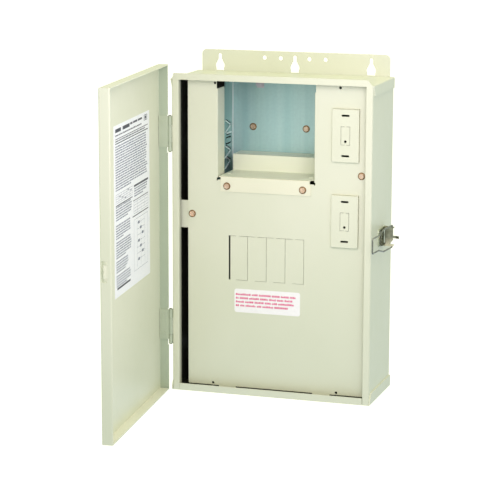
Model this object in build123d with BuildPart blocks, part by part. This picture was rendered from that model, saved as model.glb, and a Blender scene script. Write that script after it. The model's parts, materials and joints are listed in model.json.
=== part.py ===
"""Outdoor wall-mounted control panel enclosure with a hinged door, dead front and draw latch.

Units are millimetres.  +X is to the right of somebody facing the panel, +Y points into the wall
and +Z is up.  The origin is the middle of the enclosure's back face, against the wall.
The door is modelled swung open, which is its rest position.
"""

from build123d import *
from math import cos, radians, sin
import os

os.makedirs("parts", exist_ok=True)

# ---------------------------------------------------------------- driving dimensions
WIDTH = 266.7            # enclosure, outside the side walls
DEPTH = 108.0            # wall to front rim
BODY_HEIGHT = 410.5      # bottom of the side walls to the underside of the roof
SHEET = 1.5              # enclosure and door sheet
LINER_SHEET = 1.2        # lighter sheet of liner, plates and brackets
BEND = 2.0               # outside radius of a folded edge

ROOF_TOP = 412.0         # heights are measured up from the enclosure's bottom edge
LIP_TOP = 418.7
FLANGE_TOP = 440.0
RIM = 9.0                # width of the folded front rims
RETURN_DEPTH = 10.5      # how far the rims fold back inwards
CAP_SKIRT = 14.0         # end caps overlap the side walls by this much

DOOR_WIDTH = 271.6
DOOR_HEIGHT = 429.6
DOOR_DEPTH = 13.9
DOOR_OPEN_DEG = 84.5     # rest opening of the door
DOOR_GAP = 0.5           # closed door to front rims

BREAKER_PITCH = 25.4
DEAD_FRONT_SETBACK = 12.0
SCREW_HEAD = 9.6         # diameter of the panel screws' heads
LATCH_LEVEL = 212.0      # height of the latch and its keeper

# ---------------------------------------------------------------- datum corners
LEFT = -WIDTH / 2
RIGHT = WIDTH / 2
FRONT = -DEPTH
BOTTOM = -FLANGE_TOP / 2
HALF_SHEET = SHEET / 2


def slab(x_range, y_range, z_range, mode=Mode.ADD):
    """Adds (or cuts) a block between two corners in the active part's own frame."""
    spans = (x_range, y_range, z_range)
    with Locations(tuple((low + high) / 2 for low, high in spans)):
        Box(*(high - low for low, high in spans), mode=mode)


def across(x, y, z, radius, length, axis, mode=Mode.ADD):
    """Adds (or cuts) a cylinder centred on a point, lying along the named axis."""
    turn = {"x": (0, 90, 0), "y": (90, 0, 0), "z": (0, 0, 0)}[axis]
    with Locations((x, y, z)):
        Cylinder(radius, length, rotation=turn, mode=mode)


def behind(depth):
    """Y of a point this far behind the front rim."""
    return FRONT + depth


def level(height):
    """Z of a point this far above the enclosure's bottom edge."""
    return BOTTOM + height


def inset(distance):
    """X of a point this far from the enclosure's left side."""
    return LEFT + distance


def finish(builder, name):
    """Labels a finished piece and writes it."""
    builder.part.label = name
    export_step(builder.part, f"parts/{name}.step")


# ================================================================ enclosure
KEYHOLE_SPACING = 103.2
KEYHOLE_LEVEL = 419.0
KEYHOLE_RADIUS = 6.2
KEYHOLE_SLOT_RADIUS = 2.4
KEYHOLE_SLOT_LEVEL = 432.6
FLANGE_HOLE_LEVEL = 431.0
FLANGE_HOLE_RADIUS = 2.8
FLANGE_HOLE_OFFSETS = (19.5, 41.6)
FLANGE_INSET = 5.2
FLANGE_CORNER = 6.0
WALL_HOLE_SPACING = 203.2
WALL_HOLE_LEVEL = 38.0
WALL_HOLE_RADIUS = 3.6

HINGE_X = inset(-3.0)
HINGE_Y = behind(1.5)
HINGE_LOWS = (62.0, 317.0)
HINGE_HEIGHT = 46.0
HINGE_RIVET_DEPTH = 14.0
RIVET_RADIUS = 1.5
HINGE_RIVET_HEIGHTS = (13.6, 37.4)

LATCH_RIVET_DEPTHS = (40.5, 70.5)
SCREW_RADIUS = 2.1
DEAD_FRONT_SCREWS = ((23.7, 235.0), (250.3, 295.5))
LINER_SCREWS = ((77.1, 339.5), (150.3, 339.5), (77.1, 288.0), (150.3, 288.0))
BARRIER_SCREWS = ((71.4, 273.8), (173.2, 273.8))


def on_each_hinge_rivet():
    """Heights of every hinge rivet."""
    return [low + rise for low in HINGE_LOWS for rise in HINGE_RIVET_HEIGHTS]


with BuildPart() as enclosure_wrap:
    # Back, sides and folded rims are one bent sheet, seen in plan.
    with BuildSketch(Plane.XY.offset(level(SHEET))):
        with Locations((0, -DEPTH / 2)):
            RectangleRounded(WIDTH, DEPTH, BEND)
            RectangleRounded(WIDTH - 2 * SHEET, DEPTH - 2 * SHEET, BEND - SHEET, mode=Mode.SUBTRACT)
        with Locations((0, behind(HALF_SHEET))):
            Rectangle(WIDTH - 2 * RIM, SHEET + 0.1, mode=Mode.SUBTRACT)
        for side in (-1, 1):
            with Locations((side * (WIDTH / 2 - RIM + HALF_SHEET), behind(RETURN_DEPTH / 2))):
                Rectangle(SHEET, RETURN_DEPTH)
    extrude(amount=BODY_HEIGHT - SHEET)
    rim_corners = enclosure_wrap.edges().filter_by(Axis.Z).filter_by_position(
        Axis.Y, behind(-0.01), behind(0.01)).filter_by_position(Axis.X, inset(RIM) - 1, -inset(RIM) + 1)
    fillet(rim_corners, 1.0)
    # The back carries on upwards as the wall flange.
    with BuildSketch(Plane.XZ) as wall_flange:
        with Locations((0, level((BODY_HEIGHT + FLANGE_TOP) / 2 - 5))):
            Rectangle(WIDTH - 2 * FLANGE_INSET, FLANGE_TOP - BODY_HEIGHT + 10)
        fillet(wall_flange.vertices().group_by(Axis.Y)[-1], FLANGE_CORNER)
    extrude(amount=SHEET)
    # Teardrop keyholes, flat where they meet the roof.
    with BuildSketch(Plane.XZ):
        for x in (-KEYHOLE_SPACING, 0, KEYHOLE_SPACING):
            with Locations((x, level(KEYHOLE_LEVEL))):
                Circle(KEYHOLE_RADIUS)
            with Locations((x, level((KEYHOLE_LEVEL + KEYHOLE_SLOT_LEVEL) / 2))):
                Rectangle(2 * KEYHOLE_SLOT_RADIUS, KEYHOLE_SLOT_LEVEL - KEYHOLE_LEVEL)
            with Locations((x, level(KEYHOLE_SLOT_LEVEL))):
                Circle(KEYHOLE_SLOT_RADIUS)
            with Locations((x, level(KEYHOLE_LEVEL + 5.4))):
                Trapezoid(10.2, 5.0, 68)
            with Locations((x, level(KEYHOLE_LEVEL - 3.6))):
                Rectangle(2 * KEYHOLE_RADIUS - 1.6, 5.2)
    extrude(amount=SHEET + 1, both=True, mode=Mode.SUBTRACT)
    for offset_x in FLANGE_HOLE_OFFSETS:
        for side in (-1, 1):
            across(side * offset_x, -HALF_SHEET, level(FLANGE_HOLE_LEVEL), FLANGE_HOLE_RADIUS, 4, "y",
                   Mode.SUBTRACT)
    for side in (-1, 1):
        across(side * WALL_HOLE_SPACING / 2, -HALF_SHEET, level(WALL_HOLE_LEVEL), WALL_HOLE_RADIUS, 4, "y",
               Mode.SUBTRACT)
    # Rivet holes for the hinges on the left wall and the latch on the right wall.
    for height in on_each_hinge_rivet():
        across(LEFT + HALF_SHEET, behind(HINGE_RIVET_DEPTH), level(height), RIVET_RADIUS, 4, "x",
               Mode.SUBTRACT)
    for depth in LATCH_RIVET_DEPTHS:
        across(RIGHT - HALF_SHEET, behind(depth), level(LATCH_LEVEL), RIVET_RADIUS, 4, "x", Mode.SUBTRACT)
finish(enclosure_wrap, "enclosure_wrap")

with BuildPart() as top_cap:
    slab((LEFT - SHEET, RIGHT + SHEET), (FRONT, -SHEET), (level(BODY_HEIGHT), level(ROOF_TOP)))
    for side in (-1, 1):
        outer = side * (WIDTH / 2 + HALF_SHEET)
        slab((outer - HALF_SHEET, outer + HALF_SHEET), (FRONT, -SHEET),
             (level(ROOF_TOP - CAP_SKIRT), level(ROOF_TOP)))
    outer_bends = top_cap.edges().filter_by(Axis.Y).group_by(Axis.Z)[-1]
    fillet(outer_bends, BEND - 0.6)
    # The front lip stands up above the roof, with its ends cut away.
    with BuildSketch(Plane.XZ.offset(-FRONT)):
        with BuildLine():
            Polyline((LEFT, level(BODY_HEIGHT)), (LEFT + 2.6, level(LIP_TOP)), (RIGHT - 6.6, level(LIP_TOP)),
                     (RIGHT, level(BODY_HEIGHT)), close=True)
        make_face()
    extrude(amount=-SHEET)
    # The side skirts are cut back at an angle at the front.
    with BuildSketch(Plane.YZ.offset(LEFT - 5)):
        with BuildLine():
            Polyline((FRONT - 1, level(BODY_HEIGHT)), (behind(0.05), level(BODY_HEIGHT)),
                     (behind(7.0), level(ROOF_TOP - CAP_SKIRT - 0.1)),
                     (FRONT - 1, level(ROOF_TOP - CAP_SKIRT - 0.1)), close=True)
        make_face()
    extrude(amount=WIDTH + 10, mode=Mode.SUBTRACT)
finish(top_cap, "top_cap")

KNOCKOUT_GAP = 0.5
BOTTOM_KNOCKOUTS = ((-78.0, 14.2), (-20.0, 14.2), (42.0, 17.4), (96.0, 11.2))
BOTTOM_KNOCKOUT_DEPTH = 62.0

with BuildPart() as bottom_cap:
    slab((LEFT - SHEET, RIGHT + SHEET), (FRONT, 0), (BOTTOM, level(SHEET)))
    for side in (-1, 1):
        outer = side * (WIDTH / 2 + HALF_SHEET)
        slab((outer - HALF_SHEET, outer + HALF_SHEET), (FRONT, 0), (BOTTOM, level(CAP_SKIRT + 1)))
    outer_bends = bottom_cap.edges().filter_by(Axis.Y).group_by(Axis.Z)[0]
    fillet(outer_bends, BEND - 0.6)
    # Front flange, between the side rims.
    slab((inset(RIM + 0.3), -inset(RIM + 0.3)), (FRONT, behind(SHEET)), (BOTTOM, level(RIM)))
    # The side skirts rise at an angle behind the front rims.
    for start in (LEFT - 5, RIGHT):
        with BuildSketch(Plane.YZ.offset(start)):
            with BuildLine():
                Polyline((FRONT - 1, level(SHEET)), (behind(0.05), level(SHEET)), (behind(2.0), level(8.0)),
                         (behind(8.0), level(CAP_SKIRT + 1.1)), (FRONT - 1, level(CAP_SKIRT + 1.1)),
                         close=True)
            make_face()
        extrude(amount=5, mode=Mode.SUBTRACT)
    # Conduit knock-outs: a scored ring with two ties.
    for x, radius in BOTTOM_KNOCKOUTS:
        with BuildSketch(Plane.XY.offset(BOTTOM)):
            with Locations((x, behind(BOTTOM_KNOCKOUT_DEPTH))):
                Circle(radius)
                Circle(radius - KNOCKOUT_GAP, mode=Mode.SUBTRACT)
                Rectangle(2 * radius + 2, 2.4, rotation=35, mode=Mode.SUBTRACT)
        extrude(amount=SHEET, mode=Mode.SUBTRACT)
finish(bottom_cap, "bottom_cap")

# ================================================================ dead front and what fills it
DEAD_LEFT = inset(18.0)
DEAD_RIGHT = inset(262.5)
DEAD_FACE = behind(DEAD_FRONT_SETBACK)
DEAD_BACK = DEAD_FACE + LINER_SHEET
CUT_LEFT = inset(58.6)
CUT_RIGHT = inset(188.0)
CUT_BOTTOM = level(281.5)
DEAD_LOW = level(7.6)
CHEEK_DEPTH = 27.0
CHEEK_TOP = level(399.4)
RELIEF = 2.5

BREAKER_LEFT = inset(73.6)
BREAKER_LOW = level(150.5)
BREAKER_HIGH = level(209.0)
BREAKER_COUNT = 4
BREAKER_RIGHT = BREAKER_LEFT + BREAKER_COUNT * BREAKER_PITCH

PLATE_X = inset(229.3)
PLATE_WIDTH = 35.2
PLATE_HEIGHT = 67.4
PLATE_PROUD = 3.4
PLATE_GAP = 0.25
PLATE_LIP = 4.0                # the plate laps the back of the dead front by this much
PLATE_LEVELS = {"upper": 346.3, "lower": 236.2}
PLATE_SLOT_RISE = 25.7
TOGGLE_WIDTH = 12.0
TOGGLE_HEIGHT = 23.6
TOGGLE_HOLE_DROP = 7.2
KNOCKOUT_LINE = 0.45
WIDE_SLIT = 2.3                # open slit beside the first twist-out

DEAD_FRONT_HOLES = ((54.8, 406.6), (221.4, 406.6), (52.1, 10.4), (219.9, 10.4))
DEAD_FRONT_TABS = ((60.0, 83.0), (188.0, 211.0))

with BuildPart() as dead_front:
    slab((DEAD_LEFT, DEAD_RIGHT), (DEAD_FACE, DEAD_BACK), (DEAD_LOW, level(409.6)))
    for low, high in DEAD_FRONT_TABS:
        slab((inset(low), inset(high)), (DEAD_FACE, DEAD_BACK), (level(2.6), DEAD_LOW))
    slab((CUT_LEFT, CUT_RIGHT), (DEAD_FACE - 1, DEAD_BACK + 1), (CUT_BOTTOM, level(411)), Mode.SUBTRACT)
    # Cheeks fold back from both edges of the compartment opening, with relief at the corners.
    for edge, outward in ((CUT_LEFT, -1), (CUT_RIGHT, 1)):
        slab(sorted((edge, edge + outward * LINER_SHEET)), (DEAD_FACE, DEAD_FACE + CHEEK_DEPTH),
             (CUT_BOTTOM + RELIEF, CHEEK_TOP))
        bend = dead_front.edges().filter_by(Axis.Z).filter_by_position(
            Axis.X, edge - 0.01, edge + 0.01).filter_by_position(Axis.Y, DEAD_FACE - 0.01, DEAD_FACE + 0.01)
        fillet(bend.sort_by(SortBy.LENGTH)[-1], 1.0)
        slab(sorted((edge, edge + outward * (LINER_SHEET + 0.3))), (DEAD_FACE - 1, DEAD_BACK + 1),
             (CUT_BOTTOM - RELIEF / 2, CUT_BOTTOM + RELIEF), Mode.SUBTRACT)
        slab(sorted((edge, edge + outward * (LINER_SHEET + 0.3))), (DEAD_FACE - 1, DEAD_BACK + 1),
             (CHEEK_TOP, level(411.0)), Mode.SUBTRACT)
    slab((BREAKER_LEFT, BREAKER_RIGHT), (DEAD_FACE - 1, DEAD_BACK + 1), (BREAKER_LOW, BREAKER_HIGH),
         Mode.SUBTRACT)
    for height in PLATE_LEVELS.values():
        half_width = PLATE_WIDTH / 2 + PLATE_GAP
        half_height = PLATE_HEIGHT / 2 + PLATE_GAP
        slab((PLATE_X - half_width, PLATE_X + half_width), (DEAD_FACE - 1, DEAD_BACK + 1),
             (level(height) - half_height, level(height) + half_height), Mode.SUBTRACT)
    for x, height in DEAD_FRONT_HOLES:
        across(inset(x), DEAD_FACE, level(height), 1.75, 5, "y", Mode.SUBTRACT)
    for x, height in DEAD_FRONT_SCREWS + BARRIER_SCREWS:
        across(inset(x), DEAD_FACE, level(height), SCREW_RADIUS + 0.1, 5, "y", Mode.SUBTRACT)
finish(dead_front, "dead_front")

# Four breaker twist-outs, each held by a wide tie at the foot and a narrow one at the head.
for number in range(BREAKER_COUNT):
    left = BREAKER_LEFT + number * BREAKER_PITCH
    first_slit = WIDE_SLIT if number == 0 else KNOCKOUT_LINE
    last_slit = KNOCKOUT_LINE if number == BREAKER_COUNT - 1 else 0.05
    with BuildPart() as twistout:
        slab((left + first_slit, left + BREAKER_PITCH - last_slit), (DEAD_FACE, DEAD_BACK),
             (BREAKER_LOW + KNOCKOUT_LINE, BREAKER_HIGH - KNOCKOUT_LINE))
        slab((left + first_slit, left + 0.4 * BREAKER_PITCH), (DEAD_FACE, DEAD_BACK),
             (BREAKER_LOW, BREAKER_LOW + 2 * KNOCKOUT_LINE))
        slab((left + 10.0, left + 13.5), (DEAD_FACE, DEAD_BACK),
             (BREAKER_HIGH - 2 * KNOCKOUT_LINE, BREAKER_HIGH))
    finish(twistout, f"breaker_twistout_{number + 1}")

# Raised filler plates for two wall-switch positions, each with a toggle knock-out.
for place, height in PLATE_LEVELS.items():
    middle = level(height)
    toggle_x = (PLATE_X - TOGGLE_WIDTH / 2, PLATE_X + TOGGLE_WIDTH / 2)
    toggle_z = (middle - TOGGLE_HEIGHT / 2, middle + TOGGLE_HEIGHT / 2)
    pad_face = DEAD_FACE - PLATE_PROUD
    with BuildPart() as device_plate:
        slab((PLATE_X - PLATE_WIDTH / 2, PLATE_X + PLATE_WIDTH / 2), (pad_face, DEAD_BACK + LINER_SHEET),
             (middle - PLATE_HEIGHT / 2, middle + PLATE_HEIGHT / 2))
        rim_edges = device_plate.edges().group_by(Axis.Y)[0]
        fillet(rim_edges, 0.5)
        slab((PLATE_X - PLATE_WIDTH / 2 - PLATE_LIP, PLATE_X + PLATE_WIDTH / 2 + PLATE_LIP),
             (DEAD_BACK, DEAD_BACK + LINER_SHEET),
             (middle - PLATE_HEIGHT / 2 - PLATE_LIP, middle + PLATE_HEIGHT / 2 + PLATE_LIP))
        slab((PLATE_X - PLATE_WIDTH / 2 + LINER_SHEET, PLATE_X + PLATE_WIDTH / 2 - LINER_SHEET),
             (pad_face + LINER_SHEET, DEAD_BACK + LINER_SHEET + 1),
             (middle - PLATE_HEIGHT / 2 + LINER_SHEET, middle + PLATE_HEIGHT / 2 - LINER_SHEET),
             Mode.SUBTRACT)
        slab(toggle_x, (pad_face - 1, pad_face + 3), toggle_z, Mode.SUBTRACT)
        for rise in (-PLATE_SLOT_RISE, PLATE_SLOT_RISE):
            with BuildSketch(Plane.XZ.offset(-pad_face)):
                with Locations((PLATE_X, middle + rise)):
                    SlotOverall(10.4, 2.6)
            extrude(amount=LINER_SHEET + 1, both=True, mode=Mode.SUBTRACT)
    finish(device_plate, f"device_plate_{place}")
    with BuildPart() as toggle_knockout:
        slab((toggle_x[0] + KNOCKOUT_LINE, toggle_x[1] - KNOCKOUT_LINE), (pad_face, pad_face + LINER_SHEET),
             (toggle_z[0] + KNOCKOUT_LINE, toggle_z[1] - KNOCKOUT_LINE))
        slab((PLATE_X - 1.2, PLATE_X + 1.2), (pad_face + 0.4, pad_face + LINER_SHEET), toggle_z)
        across(PLATE_X, pad_face, middle - TOGGLE_HOLE_DROP, 1.7, 6, "y", Mode.SUBTRACT)
    finish(toggle_knockout, f"toggle_knockout_{place}")

with BuildPart() as warning_label:
    slab((inset(81.6), inset(170.5)), (DEAD_FACE - 0.15, DEAD_FACE), (level(108.0), level(139.2)))
    fillet(warning_label.edges().filter_by(Axis.Y), 3.0)
finish(warning_label, "warning_label")

# Brackets on the side walls that the dead front screws to.
BRACKET_ARM = 16.0             # how far a bracket's wall arm runs back
BRACKET_CORNER = 4.0
BRACKETS = {
    "left": ((LEFT + SHEET, inset(34.0)), (LEFT + SHEET, LEFT + 2 * SHEET), (level(216.0), level(252.0))),
    "right": ((inset(232.7), RIGHT - SHEET), (RIGHT - 2 * SHEET, RIGHT - SHEET),
              (level(283.5), level(307.5))),
}
for (side, (face_x, arm_x, bracket_z)), (screw_x, screw_height) in zip(BRACKETS.items(), DEAD_FRONT_SCREWS):
    with BuildPart() as bracket:
        slab(face_x, (DEAD_BACK, DEAD_BACK + SHEET), bracket_z)
        slab(arm_x, (DEAD_BACK, DEAD_BACK + BRACKET_ARM), bracket_z)
        free_corners = bracket.edges().filter_by(Axis.Y).group_by(Axis.X)[-1 if side == "left" else 0]
        fillet(free_corners, BRACKET_CORNER)
        across(inset(screw_x), DEAD_BACK, level(screw_height), SCREW_RADIUS, 8, "y", Mode.SUBTRACT)
    finish(bracket, f"dead_front_bracket_{side}")


def panel_screw(x, seat, z, length):
    """A washer-headed screw whose head sits on a face looking towards -Y."""
    across(x, seat + length / 2, z, SCREW_RADIUS, length, "y")
    across(x, seat - 0.5, z, SCREW_HEAD / 2, 1.0, "y")
    across(x, seat - 1.7, z, SCREW_HEAD / 2 - 1.5, 1.4, "y")
    slab((x - 3.2, x + 3.2), (seat - 2.6, seat - 1.6), (z - 0.55, z + 0.55), Mode.SUBTRACT)


with BuildPart() as dead_front_screws:
    for x, height in DEAD_FRONT_SCREWS:
        panel_screw(inset(x), DEAD_FACE, level(height), 9.0)
finish(dead_front_screws, "dead_front_screws")

# ================================================================ timer compartment
LINER_LEFT = inset(46.2)
LINER_RIGHT = inset(200.4)
LINER_BACK = -SHEET - 0.8
LINER_FRONT = behind(33.0)
LINER_LOW = level(272.0)
LINER_HIGH = level(409.0)
LINER_CUT = ((0, 22), (39, 20), (47, 0))  # top edge of each wall: back from its front, down from its top
LANCE_LEVELS = (294.0, 308.0, 342.0)
LANCE_DEPTH = 90.0
LANCE_ARM = 25.0               # length of each of a chevron's two arms
LANCE_SLOPE = 20.0             # degrees between an arm and the horizontal

with BuildPart() as mechanism_liner:
    slab((LINER_LEFT, LINER_RIGHT), (LINER_BACK - LINER_SHEET, LINER_BACK), (LINER_LOW, LINER_HIGH))
    for wall_x in (LINER_LEFT, LINER_RIGHT - LINER_SHEET):
        slab((wall_x, wall_x + LINER_SHEET), (LINER_FRONT, LINER_BACK), (LINER_LOW, LINER_HIGH))
    for side in (0, 1):
        corner = mechanism_liner.edges().filter_by(Axis.Z).filter_by_position(
            Axis.Y, LINER_BACK - 0.01, LINER_BACK + 0.01).sort_by(Axis.X)[-side]
        fillet(corner, 1.6)
    for wall_x in (LINER_LEFT - 1, LINER_RIGHT - LINER_SHEET - 1):
        with BuildSketch(Plane.YZ.offset(wall_x)):
            with BuildLine():
                Polyline(*[(LINER_FRONT + back, LINER_HIGH - down) for back, down in LINER_CUT],
                         (LINER_FRONT, LINER_HIGH), close=True)
            make_face()
        extrude(amount=LINER_SHEET + 2, mode=Mode.SUBTRACT)
    # Lanced chevron catches, a lanced bar and an oblong knock-out in each wall, for clipping in a timer.
    for wall_x, inward in ((LINER_LEFT + LINER_SHEET, 1), (LINER_RIGHT - LINER_SHEET, -1)):
        for height in LANCE_LEVELS:
            for side in (-1, 1):
                lift = side * LANCE_ARM / 2 * sin(radians(LANCE_SLOPE))
                with BuildSketch(Plane.YZ.offset(wall_x)):
                    with Locations((behind(LANCE_DEPTH), level(height) + lift)):
                        SlotOverall(LANCE_ARM, 2.6, rotation=-side * LANCE_SLOPE)
                extrude(amount=2.0, both=True, mode=Mode.SUBTRACT)
                with BuildSketch(Plane.YZ.offset(wall_x)):
                    with Locations((behind(LANCE_DEPTH - 6.0), level(height) + lift)):
                        SlotOverall(LANCE_ARM - 4, 1.6, rotation=-side * LANCE_SLOPE)
                extrude(amount=inward * 1.5)
        with BuildSketch(Plane.YZ.offset(wall_x)):
            with Locations((behind(LANCE_DEPTH), level(322.0))):
                SlotOverall(26.0, 10.0)
                SlotOverall(22.0, 6.0, mode=Mode.SUBTRACT)
                Rectangle(30, 1.6, mode=Mode.SUBTRACT)
            with Locations((behind(LANCE_DEPTH), level(330.0))):
                SlotOverall(18.0, 1.8)
        extrude(amount=2.0, both=True, mode=Mode.SUBTRACT)
        with BuildSketch(Plane.YZ.offset(wall_x)):
            with Locations((behind(LANCE_DEPTH), level(332.3))):
                SlotOverall(18.0, 2.2)
        extrude(amount=inward * 1.5)
    for x, height in LINER_SCREWS:
        across(inset(x), LINER_BACK, level(height), SCREW_RADIUS + 0.05, 8, "y", Mode.SUBTRACT)
finish(mechanism_liner, "mechanism_liner")

with BuildPart() as liner_standoffs:
    for x, height in LINER_SCREWS:
        across(inset(x), (LINER_BACK - SHEET) / 2, level(height), 6.0, abs(LINER_BACK + SHEET), "y")
        across(inset(x), LINER_BACK, level(height), SCREW_RADIUS, 8, "y", Mode.SUBTRACT)
finish(liner_standoffs, "liner_standoffs")

with BuildPart() as liner_screws:
    for x, height in LINER_SCREWS:
        panel_screw(inset(x), LINER_BACK - LINER_SHEET, level(height), LINER_SHEET + 0.7)
finish(liner_screws, "liner_screws")

CLIP_X = (inset(82.6), inset(92.0))
CLIP_TOP = level(401.0)
CLIP_REACH = 7.0
CLIP_WALL = 1.0
with BuildPart() as mechanism_clip:
    clip_y = LINER_BACK - LINER_SHEET
    slab(CLIP_X, (clip_y - CLIP_WALL, clip_y), (CLIP_TOP - 9.5, CLIP_TOP))
    slab(CLIP_X, (clip_y - CLIP_REACH, clip_y), (CLIP_TOP - CLIP_WALL, CLIP_TOP))
    slab(CLIP_X, (clip_y - CLIP_REACH, clip_y - CLIP_REACH + CLIP_WALL), (CLIP_TOP - 6.0, CLIP_TOP))
    slab((CLIP_X[0] + 3.0, CLIP_X[1] - 3.0), (clip_y - CLIP_REACH - 2.0, clip_y - CLIP_REACH + CLIP_WALL),
         (CLIP_TOP - 3.0, CLIP_TOP - 1.5))
    fillet(mechanism_clip.edges().filter_by(Axis.X).group_by(Axis.Z)[-1], 0.5)
finish(mechanism_clip, "mechanism_clip")

SHELF_TOP = level(286.0)
SHELF_REAR = behind(72.0)
LEDGE_TOP = level(307.0)
BARRIER_X = (inset(60.2), inset(186.4))
BARRIER_FLANGE_X = (inset(62.8), inset(184.0))
BARRIER_FACE = DEAD_FACE - LINER_SHEET

with BuildPart() as barrier_bracket:
    slab(BARRIER_FLANGE_X, (BARRIER_FACE, DEAD_FACE), (level(266.5), SHELF_TOP))
    slab(BARRIER_X, (DEAD_FACE, SHELF_REAR), (SHELF_TOP - LINER_SHEET, SHELF_TOP))
    slab(BARRIER_FLANGE_X, (BARRIER_FACE, DEAD_FACE + 1), (SHELF_TOP - LINER_SHEET, SHELF_TOP))
    fillet(barrier_bracket.edges().filter_by(Axis.X).filter_by_position(
        Axis.Z, SHELF_TOP - 0.01, SHELF_TOP + 0.01).sort_by(Axis.Y)[0], 1.0)
    slab(BARRIER_X, (SHELF_REAR - LINER_SHEET, SHELF_REAR), (SHELF_TOP - LINER_SHEET, LEDGE_TOP))
    slab(BARRIER_X, (SHELF_REAR - LINER_SHEET, LINER_BACK - LINER_SHEET - 0.3),
         (LEDGE_TOP - LINER_SHEET, LEDGE_TOP))
    fillet(barrier_bracket.edges().filter_by(Axis.X).filter_by_position(
        Axis.Z, LEDGE_TOP - 0.01, LEDGE_TOP + 0.01).sort_by(Axis.Y)[0], 1.0)
    for x in (68.0, 178.0):
        slab((inset(x) - 2.6, inset(x) + 2.6), (behind(33.0), behind(35.0)), (SHELF_TOP, SHELF_TOP + 0.7))
    # The right front corner is notched past the dead front's edge.
    slab((inset(182.4), inset(187.0)), (BARRIER_FACE - 1, DEAD_FACE + 9), (SHELF_TOP - 6.5, SHELF_TOP + 1),
         Mode.SUBTRACT)
    for x, height in BARRIER_SCREWS:
        across(inset(x), DEAD_FACE, level(height), SCREW_RADIUS + 0.05, 5, "y", Mode.SUBTRACT)
finish(barrier_bracket, "barrier_bracket")

with BuildPart() as barrier_screws:
    for x, height in BARRIER_SCREWS:
        panel_screw(inset(x), DEAD_FACE - LINER_SHEET, level(height), 8.0)
finish(barrier_screws, "barrier_screws")

# ================================================================ breaker interior behind the dead front
BASE_X = (BREAKER_LEFT - 6, BREAKER_RIGHT + 6)
BASE_Z = (level(128.0), level(236.0))
BASE_BACK = -SHEET
BASE_FACE = -34.0
STAB_WIDTH = 8.0
BUS_THICKNESS = 2.5
BREAKER_MIDDLE = (BREAKER_LOW + BREAKER_HIGH) / 2

with BuildPart() as breaker_base:
    slab(BASE_X, (BASE_FACE, BASE_BACK), BASE_Z)
    fillet(breaker_base.edges().filter_by(Axis.Y), 3.0)
    slab((BASE_X[0] + 4, BASE_X[1] - 4), (BASE_FACE + 14, BASE_BACK + 1), (BASE_Z[0] + 4, BASE_Z[1] - 4),
         Mode.SUBTRACT)
    for number in range(BREAKER_COUNT + 1):
        wall_x = BREAKER_LEFT + number * BREAKER_PITCH
        slab((wall_x - 1, wall_x + 1), (BASE_FACE - 6, BASE_FACE + 1), (BREAKER_LOW + 6, BREAKER_HIGH - 6))
finish(breaker_base, "breaker_base")

# Two bus bars; each bends forward into stabs under alternate breakers.
BUS_WIDTH = 14.0
BUS_FEET = (BASE_Z[1] - 22, BASE_Z[0] + 8)
for name, first, foot in zip(("bus_bar_a", "bus_bar_b"), (0, 1), BUS_FEET):
    with BuildPart() as bus_bar:
        slab((BREAKER_LEFT + 2, BREAKER_RIGHT - 2), (BASE_FACE - BUS_THICKNESS, BASE_FACE),
             (foot, foot + BUS_WIDTH))
        for number in range(first, BREAKER_COUNT, 2):
            stab_x = BREAKER_LEFT + (number + 0.5) * BREAKER_PITCH
            slab((stab_x - STAB_WIDTH / 2, stab_x + STAB_WIDTH / 2), (BASE_FACE - BUS_THICKNESS, BASE_FACE),
                 sorted((foot + BUS_WIDTH / 2, BREAKER_MIDDLE)))
            slab((stab_x - STAB_WIDTH / 2, stab_x + STAB_WIDTH / 2), (BASE_FACE - 16, BASE_FACE),
                 (BREAKER_MIDDLE - BUS_THICKNESS / 2, BREAKER_MIDDLE + BUS_THICKNESS / 2))
    finish(bus_bar, name)

LUG_SIZE = 20.0
LUG_DEPTH = 18.0
LUG_BACK = BASE_FACE - BUS_THICKNESS
LUG_SCREW_RADIUS = 4.0
LUG_CENTRES = ((BREAKER_LEFT + 14, BUS_FEET[0] + 7), (BREAKER_RIGHT - 14, BUS_FEET[1] + 7))
with BuildPart() as main_lugs:
    for lug_x, lug_z in LUG_CENTRES:
        slab((lug_x - LUG_SIZE / 2, lug_x + LUG_SIZE / 2), (LUG_BACK - LUG_DEPTH, LUG_BACK),
             (lug_z - LUG_SIZE / 2, lug_z + LUG_SIZE / 2))
        across(lug_x, LUG_BACK - 8, lug_z, 5.0, LUG_SIZE + 2, "z", Mode.SUBTRACT)
        across(lug_x, LUG_BACK - 16, lug_z, LUG_SCREW_RADIUS, 8, "y", Mode.SUBTRACT)
finish(main_lugs, "main_lugs")

with BuildPart() as main_lug_screws:
    for lug_x, lug_z in LUG_CENTRES:
        across(lug_x, LUG_BACK - 16.5, lug_z, LUG_SCREW_RADIUS - 0.05, 7, "y")
        slab((lug_x - 2.0, lug_x + 2.0), (LUG_BACK - 20.5, LUG_BACK - 17), (lug_z - 2.0, lug_z + 2.0),
             Mode.SUBTRACT)
finish(main_lug_screws, "main_lug_screws")

RAIL_LOW = BREAKER_LOW + 4
RAIL_FRONT = BASE_FACE - 22
with BuildPart() as breaker_rail:
    slab((BREAKER_LEFT - 5, BREAKER_RIGHT + 5), (RAIL_FRONT, BASE_FACE - 4), (RAIL_LOW, RAIL_LOW + SHEET))
    slab((BREAKER_LEFT, BREAKER_RIGHT), (RAIL_FRONT, RAIL_FRONT + SHEET), (RAIL_LOW, RAIL_LOW + 7))
    for foot_x in (BREAKER_LEFT - 5, BREAKER_RIGHT + 2):
        slab((foot_x, foot_x + 3), (RAIL_FRONT, BASE_FACE), (RAIL_LOW, RAIL_LOW + SHEET))
finish(breaker_rail, "breaker_rail")


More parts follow.
